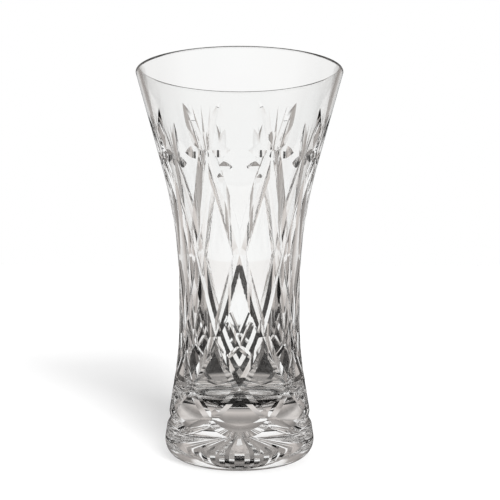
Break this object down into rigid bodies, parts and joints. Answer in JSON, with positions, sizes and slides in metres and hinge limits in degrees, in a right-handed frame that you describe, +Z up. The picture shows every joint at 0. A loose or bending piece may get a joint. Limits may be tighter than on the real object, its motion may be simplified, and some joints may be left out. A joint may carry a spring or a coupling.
{
  "type": "cut crystal vase",
  "caption": "Tall flared vase of clear lead crystal with crossing V cuts, fans of blades and a star under its thick foot; it holds cut flowers in water.",
  "frame": {"origin": "middle of the flat face that the vase stands on", "axes": "+Z up along the vase's axis; a panel of the pattern faces -Y"},
  "size_m": [0.1372, 0.1372, 0.254],
  "materials": {
    "crystal": "colourless lead crystal, polished walls and polished V cuts, finely ground standing ring"
  },
  "bodies": {
    "root": {"vase": "crystal"}
  },
  "joints": []
}
